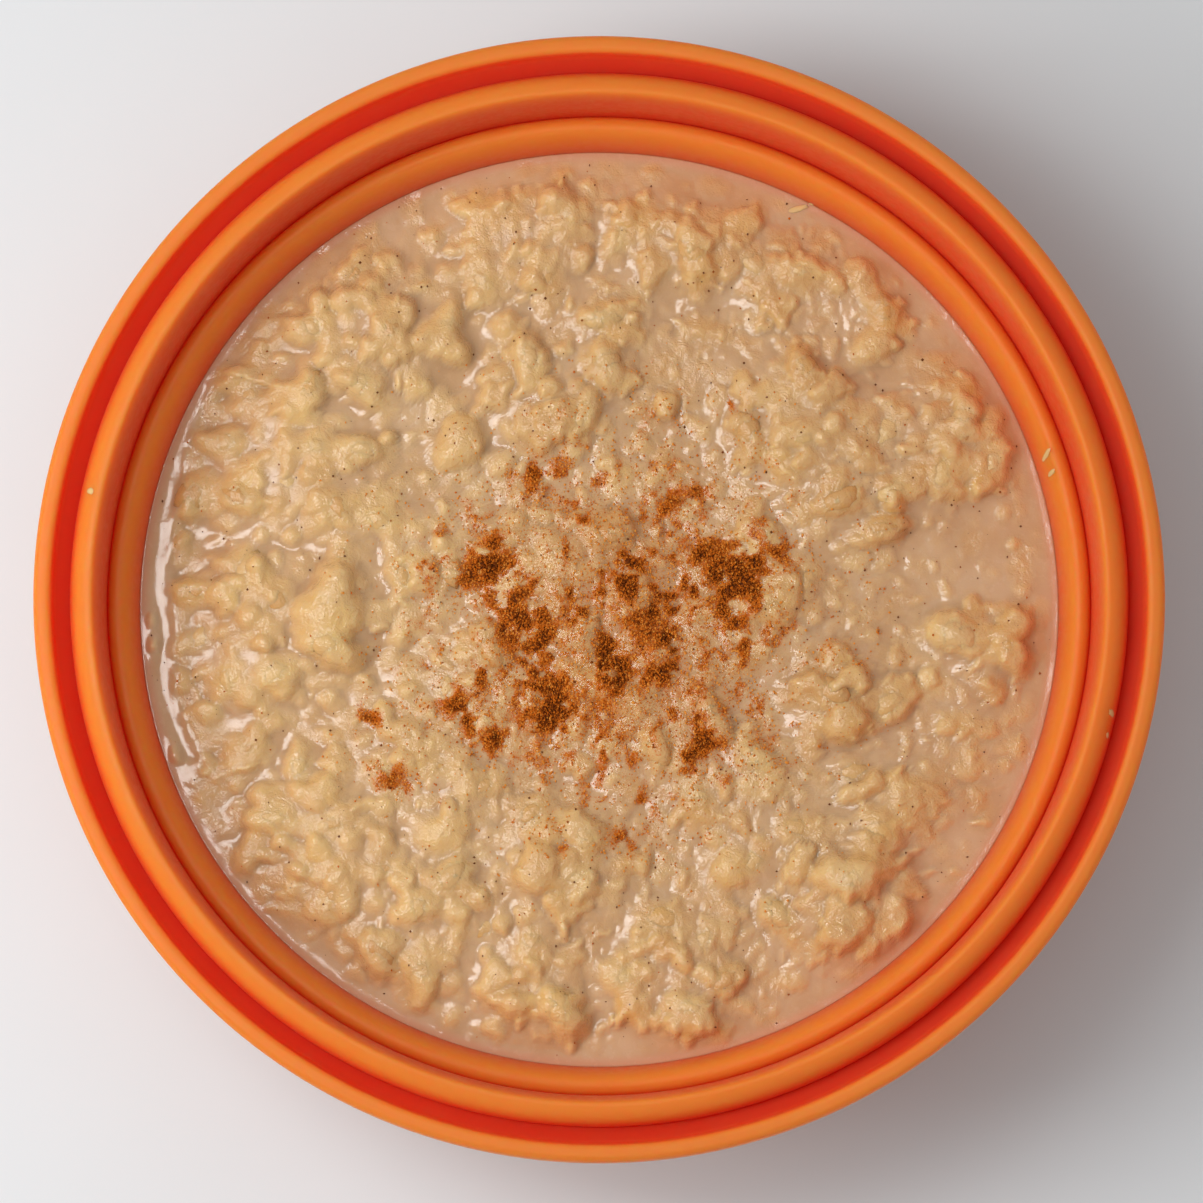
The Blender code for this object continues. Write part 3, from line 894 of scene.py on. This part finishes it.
def creamMaterial(name, soft=look["soft"]):
    tree, shader, material = newMaterial(name)
    place = objectPlace(tree)
    kernel = attribute(tree, "kernel")
    dust = attribute(tree, "cinnamon")
    reliefShade = attribute(tree, "reliefShade")
    cloud = noiseTexture(tree, place, look["cloudScale"], 3)
    fine = noiseTexture(tree, place, look["fineScale"], 3, 0.6)
    grit = noiseTexture(tree, place, look["gritScale"], 2, 0.6)
    milk = mixColour(tree, remap(tree, cloud, 0.3, 0.7), look["milk"], look["milkDark"])
    grainColour = mixColour(tree, attribute(tree, "tint"), look["grain"], look["grainYellow"])
    cloudy = calculate(tree, "ADD", cloud, calculate(tree, "MULTIPLY", fine, 0.4))
    film = remap(tree, cloudy, 0.35, 0.85, 1.0, 0.55)
    body = mixColour(tree, calculate(tree, "MULTIPLY", kernel, film), milk, grainColour)
    # painted light: raised tops paled towards cream; painted shade: hollows darkened towards brown
    body = mixColour(tree, remap(tree, reliefShade, 0.0, -0.8, 0.0, 0.3), body, look["creamTopLight"])
    body = mixColour(tree, remap(tree, reliefShade, 0.15, 1.0, 0.0, 0.3), body, look["reliefShade"])
    # painted light: the orange wall's glow in the thin milk by the wall
    body = mixColour(tree, attribute(tree, "edge"), body, look["edge"])
    stained = mixColour(tree, remap(tree, dust, 0.0, 0.6, 0.0, 0.75), body, cinnamon["stain"])
    grainy = calculate(tree, "ADD", grit, calculate(tree, "MULTIPLY", dust, 0.42))
    cover = calculate(tree, "MULTIPLY", remap(tree, grainy, 0.68, 0.78), remap(tree, dust, 0.02, 0.1))
    uneven = calculate(tree, "MULTIPLY", calculate(tree, "SUBTRACT", grit, 0.5), 1.2)
    depth = calculate(tree, "ADD", dust, uneven)
    ground = mixColour(tree, remap(tree, depth, 0.7, 1.35), cinnamon["middle"], cinnamon["dark"])
    stained = mixColour(tree, cover, stained, ground)
    dry = remap(tree, dust, 0.25, 0.8)
    wet = remap(tree, fine, 0.3, 0.7, 0.16, 0.3)
    crumple = noiseTexture(tree, place, look["crumpleScale"], 3, 0.6, 0.4)
    relief = calculate(tree, "ADD", crumple, calculate(tree, "MULTIPLY", grit, 0.22))
    relief = calculate(tree, "MULTIPLY", relief, remap(tree, kernel, 0.0, 0.7, 0.12, 1.0))
    wrinkled = bump(tree, relief, look["bump"], look["bumpHeight"])
    plugIn(tree, shader, {
        "Base Color": stained,
        "Roughness": calculate(tree, "ADD", wet, calculate(tree, "MULTIPLY", dry, 0.5)),
        "Normal": wrinkled,
        "Subsurface Weight": soft,
        "Subsurface Radius": (0.9, 0.7, 0.45),
        "Subsurface Scale": 0.0018,
        "IOR": 1.45,
        "Coat Weight": remap(tree, dust, 0.3, 0.9, 1.0, 0.0),
        "Specular IOR Level": 0.3,
        "Coat IOR": 1.5,
        "Coat Roughness": look["coatRoughness"],
        "Coat Normal": wrinkled,
    })
    return material


def discGrid(side):  # an even square grid drawn into a circle of radius 1
    bm = bmesh.new()
    bmesh.ops.create_grid(bm, x_segments=side, y_segments=side, size=1.0)
    for vert in bm.verts:
        a, b = vert.co.x, vert.co.y
        if abs(a) > abs(b):
            radius, turn = a, math.pi / 4 * b / a
        elif b != 0:
            radius, turn = b, math.pi / 2 - math.pi / 4 * a / b
        else:
            radius, turn = 0.0, 0.0
        vert.co.x, vert.co.y = radius * math.cos(turn), radius * math.sin(turn)
    return bm


def puddingWall():  # the hidden side, just clear of the lower tiers and the floor
    path = [(wallRadius(pudding["wallTop"]), pudding["wallTop"]), bowl["tiers"][1][2:]]
    for crestRadius, crestHeight, footRadius, footHeight in bowl["tiers"][2:]:
        path.append((crestRadius, crestHeight))
        path += quarterArc((crestRadius, crestHeight), (footRadius, footHeight), 3)
    last = path[-1][0]
    path.append((last - pudding["wallCove"], bowl["floor"] + pudding["wallCove"]))
    path.append((last - bowl["floorRounding"], bowl["floor"]))
    return [(across - pudding["wallGap"], up + pudding["wallGap"]) for across, up in path]


def makePudding(fields, powder):
    bm = discGrid(pudding["gridSide"])
    reach = wallRadius(pudding["level"] + pudding["meniscus"]) + pudding["tuck"]
    bmesh.ops.scale(bm, vec=(reach * mm, reach * mm, 1), verts=bm.verts)
    rim = [edge for edge in bm.edges if edge.is_boundary]
    for radius, level in puddingWall():
        extruded = bmesh.ops.extrude_edge_only(bm, edges=rim)["geom"]
        rim = [part for part in extruded if isinstance(part, bmesh.types.BMEdge)]
        for vert in [part for part in extruded if isinstance(part, bmesh.types.BMVert)]:
            vert.co.z = 0
            vert.co *= radius * mm / vert.co.length
            vert.co.z = level * mm
    bmesh.ops.holes_fill(bm, edges=rim, sides=0)
    bmesh.ops.recalc_face_normals(bm, faces=bm.faces)
    obj = meshObject("puddingBody", bm, creamMaterial("puddingCream"))
    points = pointsOf(obj) / mm
    top = points[:, 2] == 0
    points[top, 2] = sampleField(fields["height"], points[top, 0], points[top, 1])
    radius = np.hypot(points[:, 0], points[:, 1])
    movePoints(obj, points * mm)
    obj.data.shade_smooth()
    for name, empty in (("kernel", 0), ("tint", 0.5), ("reliefShade", 0)):
        addAttribute(obj, name, np.where(top, sampleField(fields[name], points[:, 0], points[:, 1]), empty))
    addAttribute(obj, "cinnamon", np.where(top, sampleField(powder, points[:, 0], points[:, 1]), 0))
    # painted light: how much of the wall's orange glow the milk gets
    addAttribute(obj, "edge", smoothStep(*look["wallGlowWidth"], edgeRadius - radius))
    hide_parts("pudding")
    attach(obj, "root")
    print("pudding: surface of", len(obj.data.polygons), "faces")


def surfaceSlope(height, x, y, reach):
    slopes = []
    for dx, dy in ((reach, 0), (0, reach)):
        fall = sampleField(height, x + dx, y + dy) - sampleField(height, x - dx, y - dy)
        slopes.append(float(fall) / (2 * reach))
    return slopes


def makeLooseRice(height, loose, powder):
    bm = bmesh.new()
    draw = random.Random(rice["seed"] + 13)
    tints = []
    for number, (x, y, length, width, thick, turned, shade) in enumerate(loose):
        z = float(sampleField(height, x, y)) + rice["looseShow"] - thick / 2
        leanX, leanY = surfaceSlope(height, x, y, rice["slopeReach"])
        made = bmesh.ops.create_icosphere(bm, subdivisions=2, radius=0.5)["verts"]
        bend = draw.uniform(-rice["looseBend"], rice["looseBend"])
        tip = draw.uniform(-rice["looseTip"], rice["looseTip"])
        turn = Matrix.Rotation(turned, 3, "Z") @ Matrix.Rotation(tip, 3, "Y")
        for vert in made:
            unit = vert.co * 2
            lump = 1 + rice["looseLumps"] * noise.noise(unit * 1.5 + Vector((number * 3.1, 0, 0)))
            blunt = 1 - 0.1 * unit.x**2
            shape = Vector((unit.x * length, unit.y * width * blunt, unit.z * thick * blunt)) * lump / 2
            shape.y += bend * unit.x**2
            shape = turn @ shape
            shape.z += leanX * shape.x + leanY * shape.y
            vert.co = (shape + Vector((x, y, z))) * mm
        tints += [shade] * len(made)
    obj = meshObject("riceGrains", bm, creamMaterial("riceGrain", look["grainSoft"]))
    obj.data.shade_smooth()
    points = pointsOf(obj) / mm
    addAttribute(obj, "kernel", np.ones(len(points)))
    addAttribute(obj, "tint", tints)
    addAttribute(obj, "cinnamon", sampleField(powder, points[:, 0], points[:, 1]))
    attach(obj, "root")
    print("rice:", len(loose), "loose grains")


# powder and specks are joined copies of one eight-sided crumb

def powderMaterial(name, shades):
    tree, shader, material = newMaterial(name)
    shade = attribute(tree, "shade")
    colour = mixColour(tree, remap(tree, shade, 0.0, 0.5), shades[0], shades[1])
    colour = mixColour(tree, remap(tree, shade, 0.5, 1.0), colour, shades[2])
    plugIn(tree, shader, {"Base Color": colour, "Roughness": 0.85, "Specular IOR Level": 0.15})
    return material


def scatterCrumbs(name, crumbs, material):  # each crumb is x, y, z, size, shade
    bm = bmesh.new()
    bmesh.ops.create_uvsphere(bm, u_segments=4, v_segments=2, radius=0.5)
    bmesh.ops.triangulate(bm, faces=bm.faces)
    corner = np.array([vert.co for vert in bm.verts])
    faces = np.array([[vert.index for vert in face.verts] for face in bm.faces])
    bm.free()
    draw = np.random.default_rng(len(crumbs))
    crumbs = np.array(crumbs)
    turn = draw.uniform(0, math.tau, len(crumbs))
    size = crumbs[:, 3:4] * draw.uniform(0.7, 1.3, (len(crumbs), 3))
    local = corner[None] * size[:, None]
    x = local[..., 0] * np.cos(turn)[:, None] - local[..., 2] * np.sin(turn)[:, None]
    z = local[..., 0] * np.sin(turn)[:, None] + local[..., 2] * np.cos(turn)[:, None]
    local = np.stack([x, local[..., 1], z], -1) + crumbs[:, None, :3]
    every = (faces[None] + len(corner) * np.arange(len(crumbs))[:, None, None]).reshape(-1, 3)
    mesh = bpy.data.meshes.new(name)
    mesh.from_pydata((local.reshape(-1, 3) * mm).tolist(), [], every.tolist())
    mesh.materials.append(material)
    obj = bpy.data.objects.new(name, mesh)
    bpy.context.scene.collection.objects.link(obj)
    addAttribute(obj, "shade", np.repeat(crumbs[:, 4], len(corner)))
    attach(obj, "root")
    print(name + ":", len(crumbs), "crumbs")


def makeCinnamon(fields, powder):
    height = fields["height"]
    draw = np.random.default_rng(cinnamon["crumbSeed"])
    batch = cinnamon["grainBatch"]
    acrossArea, upArea = cinnamon["grainArea"]
    crumbs = []
    while len(crumbs) < cinnamon["grains"]:
        x, y = draw.uniform(*acrossArea, batch), draw.uniform(*upArea, batch)
        there = sampleField(powder, x, y)
        kept = draw.random(batch) < (there**1.8 + 0.25 * there) / 1.6
        size = draw.uniform(*cinnamon["grainSizes"], batch)
        pile = draw.random(batch) * cinnamon["pile"] * np.clip(there - 0.4, 0, 1)
        z = sampleField(height, x, y) + cinnamon["grainLift"] * size + pile
        shade = np.clip(0.02 + 0.5 * there + draw.normal(0, 0.26, batch), 0, 1)
        crumbs += list(np.stack([x, y, z, size, shade], 1)[kept])
    crumbs = crumbs[: cinnamon["grains"]]
    shades = (cinnamon["light"], cinnamon["middle"], cinnamon["dark"])
    scatterCrumbs("cinnamonPowder", crumbs, powderMaterial("cinnamonGround", shades))

    radius = (edgeRadius - 1) * np.sqrt(draw.random(cinnamon["specks"]))
    turn = draw.uniform(0, math.tau, cinnamon["specks"])
    x, y = radius * np.cos(turn), radius * np.sin(turn)
    shade = draw.random(cinnamon["specks"])
    least, most = cinnamon["speckSizes"]
    size = least + (most - least) * draw.random(cinnamon["specks"]) ** 2
    z = sampleField(height, x, y) + cinnamon["speckLift"]
    shades = (cinnamon["middle"], cinnamon["speck"], cinnamon["speck"])
    specks = np.stack([x, y, z, size, shade], 1)
    scatterCrumbs("spiceSpecks", specks, powderMaterial("spiceDark", shades))


# floor, light and camera

studio = {
    "floor": linear(232, 236, 238),
    "floorShade": linear(229, 233, 235),
    "floorSize": 0.9,
    "floorGrain": 40,
    "world": (1.0, 1.0, 1.0, 1.0),
    "worldStrength": 0.34,
    "lamps": {  # place, width and height, power, and whether it shows in gloss
        "skyPanel": ((-0.12, 0.0, 0.85), (0.55, 0.55), 0.74, False),
        "sidePanel": ((-0.38, -0.06, 0.38), (0.22, 0.22), 0.92, False),
        "window": ((-0.225, 0.03, 0.53), (0.15, 0.34), 1.08, True),
    },
    "aim": (0.0, 0.0, 0.04),  # where the lamps point
    "tilt": 5.5,  # degrees from straight down, from the front
    "distance": 1.2,
    "frameWidth": 0.1752,
    "centreShift": (0.00034, -0.00095),
}


def makeStudio():
    bm = bmesh.new()
    bmesh.ops.create_grid(bm, x_segments=2, y_segments=2, size=studio["floorSize"])
    tree, shader, material = newMaterial("paleFloor")
    grain = noiseTexture(tree, objectPlace(tree), studio["floorGrain"], 3)
    plugIn(tree, shader, {
        "Base Color": mixColour(tree, grain, studio["floor"], studio["floorShade"]),
        "Roughness": 0.9,
    })
    floor = meshObject("floor", bm, material)

    world = bpy.data.worlds.new("studioAir")
    bpy.context.scene.world = world
    world.use_nodes = True
    background = world.node_tree.nodes["Background"]
    background.inputs["Color"].default_value = studio["world"]
    background.inputs["Strength"].default_value = studio["worldStrength"]

    for name, (place, size, power, inGloss) in studio["lamps"].items():
        lamp = bpy.data.lights.new(name, "AREA")
        lamp.energy = power
        lamp.shape = "RECTANGLE"
        lamp.size, lamp.size_y = size
        panel = bpy.data.objects.new(name, lamp)
        bpy.context.scene.collection.objects.link(panel)
        panel.location = place
        aim = Vector(studio["aim"]) - panel.location
        panel.rotation_euler = aim.to_track_quat("-Z", "Y").to_euler()
        panel.visible_glossy = inGloss

    shot = bpy.data.cameras.new("camera")
    shot.lens = shot.sensor_width * studio["distance"] / studio["frameWidth"]
    camera = bpy.data.objects.new("camera", shot)
    bpy.context.scene.collection.objects.link(camera)
    tilt = math.radians(studio["tilt"])
    target = Vector((*studio["centreShift"], bowl["lipTop"] * mm))
    back = Vector((0, -math.sin(tilt), math.cos(tilt)))
    camera.location = target + back * studio["distance"]
    camera.rotation_euler = (tilt, 0, 0)
    bpy.context.scene.camera = camera
    bpy.context.scene.view_settings.view_transform = "Standard"
    print("studio: floor, light and camera")


def main():
    makeStudio()
    makeDrops(makeBowl())
    fields, loose = puddingFields()
    powder = cinnamonField()
    makePudding(fields, powder)
    makeLooseRice(fields["height"], loose, powder)
    makeCinnamon(fields, powder)
    bpy.context.view_layer.update()


main()
